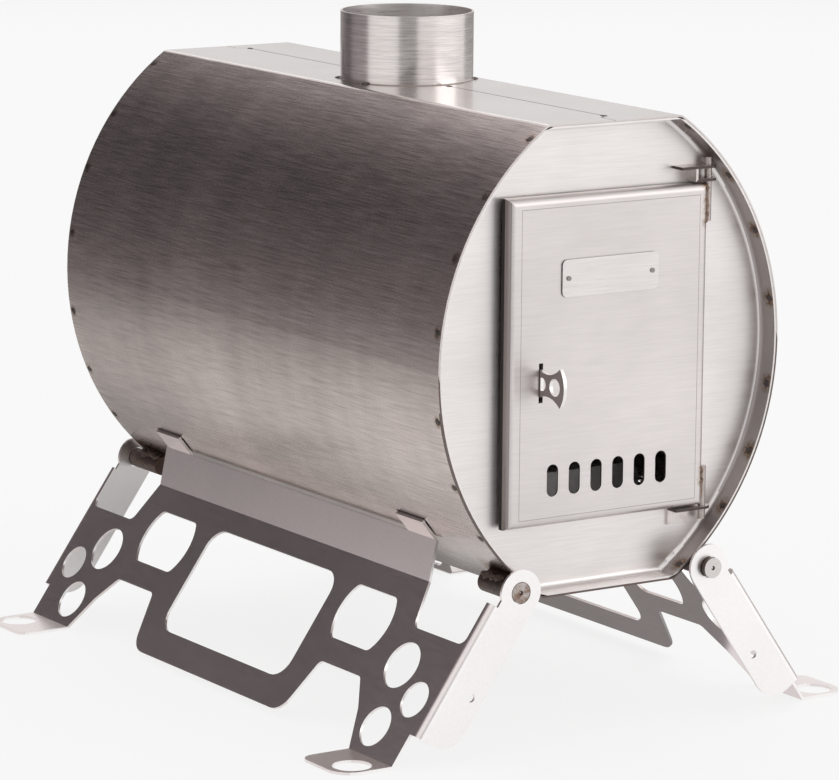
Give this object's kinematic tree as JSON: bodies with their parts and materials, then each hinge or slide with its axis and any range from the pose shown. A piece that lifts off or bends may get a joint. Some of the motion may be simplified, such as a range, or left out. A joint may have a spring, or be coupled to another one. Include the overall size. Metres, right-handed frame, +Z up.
{
  "type": "tent wood stove",
  "caption": "Oval sheet-steel tent stove with a front fire door, gravity latch, flue collar and two folding legs that hook into the barrel.",
  "frame": {"origin": "on the ground, under the middle of the whole stove's box", "axes": "+Z up, +X to the right of the door as a user faces it, the door faces -Y, the barrel's long axis lies along Y"},
  "size_m": [0.3334, 0.432, 0.3711],
  "materials": {
    "barrel_steel": "brushed along the barrel",
    "front_steel": "mill finish, slight heat tint",
    "rear_steel": "mill finish",
    "collar_steel": "rolled, brushed round",
    "inner_steel": "dull",
    "bracket_steel": "laser-cut edges",
    "burnt_steel": "dark from welding heat",
    "door_steel": "brushed upright, slight heat tint",
    "plate_steel": "fine brushed",
    "rivet_steel": "satin",
    "latch_steel": "laser-cut plate",
    "leg_steel": "matt mill finish"
  },
  "bodies": {
    "stove_body": {"barrel_shell": "barrel_steel", "front_panel": "front_steel", "rear_panel": "rear_steel", "flue_collar": "collar_steel", "ember_guard": "inner_steel", "upper_hinge_bracket": "bracket_steel", "lower_hinge_bracket": "bracket_steel", "latch_keeper": "inner_steel", "front_left_pivot_stub": "burnt_steel", "front_right_pivot_stub": "burnt_steel", "rear_left_pivot_stub": "burnt_steel", "rear_right_pivot_stub": "burnt_steel"},
    "door": {"door_panel": "door_steel", "upper_hinge_rod": "burnt_steel", "lower_hinge_rod": "burnt_steel", "nameplate": "plate_steel", "nameplate_rivets": "rivet_steel", "latch_bracket": "inner_steel", "latch_pin": "inner_steel"},
    "latch": {"latch_lever": "latch_steel"},
    "left_leg": {"left_leg": "leg_steel"},
    "right_leg": {"right_leg": "leg_steel"}
  },
  "joints": [
    {"name": "door_swing", "type": "hinge", "parent": "stove_body", "child": "door", "pos_m": [0.06603, -0.18895, 0.20663], "axis": [0, 0, 1], "range_deg": [0, 135]},
    {"name": "latch_lift", "type": "hinge", "parent": "door", "child": "latch", "pos_m": [-0.04398, -0.18885, 0.19612], "axis": [-1, 0, 0], "range_deg": [0, 18]},
    {"name": "left_leg_fold", "type": "hinge", "parent": "stove_body", "child": "left_leg", "pos_m": [-0.06062, 0.00405, 0.08689], "axis": [0, -1, 0], "range_deg": [0, 125]},
    {"name": "right_leg_fold", "type": "hinge", "parent": "stove_body", "child": "right_leg", "pos_m": [0.06062, 0.00405, 0.08689], "axis": [0, 1, 0], "range_deg": [0, 117]}
  ]
}
